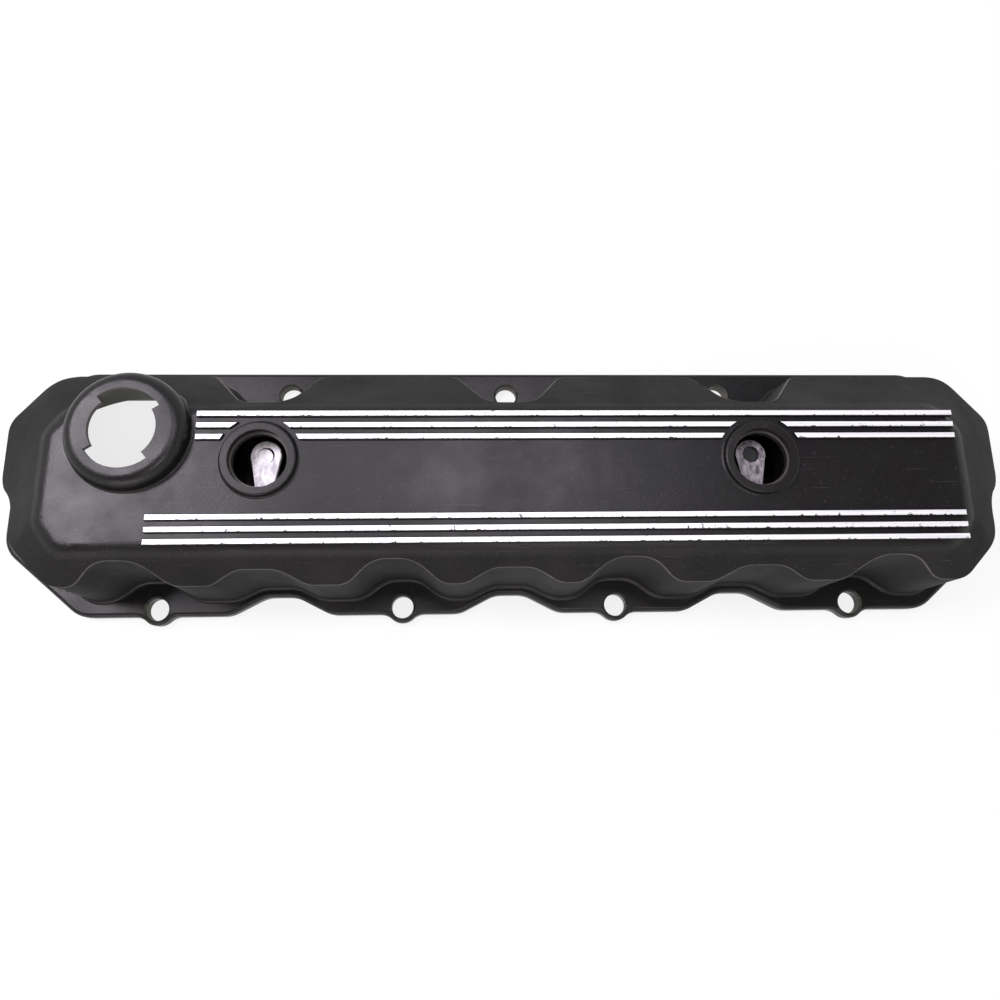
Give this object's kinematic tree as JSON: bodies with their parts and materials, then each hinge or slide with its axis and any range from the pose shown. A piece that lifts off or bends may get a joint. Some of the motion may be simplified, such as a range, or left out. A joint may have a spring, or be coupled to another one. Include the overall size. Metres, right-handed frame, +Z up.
{
  "type": "engine valve cover",
  "caption": "Cast aluminium valve cover in black with bare ribs, a scalloped front wall on a bolted flange, a twist-cap oil filler and breather holes with baffles below.",
  "frame": {"origin": "under the middle of the cover, on the plane of the sealing face", "axes": "+X along the cover's length, +Y to the rear bolt row, +Z up out of the roof"},
  "size_m": [0.479, 0.1256, 0.0658],
  "materials": {
    "black_coat": "satin black powder coat on cast aluminium, ribs machined bare",
    "bare_aluminium": "bare stamped strip",
    "black_sheet": "black coated sheet",
    "zinc_screw": "zinc plated"
  },
  "bodies": {
    "root": {"valve_cover": "black_coat", "baffle_strap_left": "bare_aluminium", "baffle_strap_right": "bare_aluminium", "baffle_plate_left": "black_sheet", "baffle_plate_right": "black_sheet", "baffle_screws": "zinc_screw"}
  },
  "joints": []
}
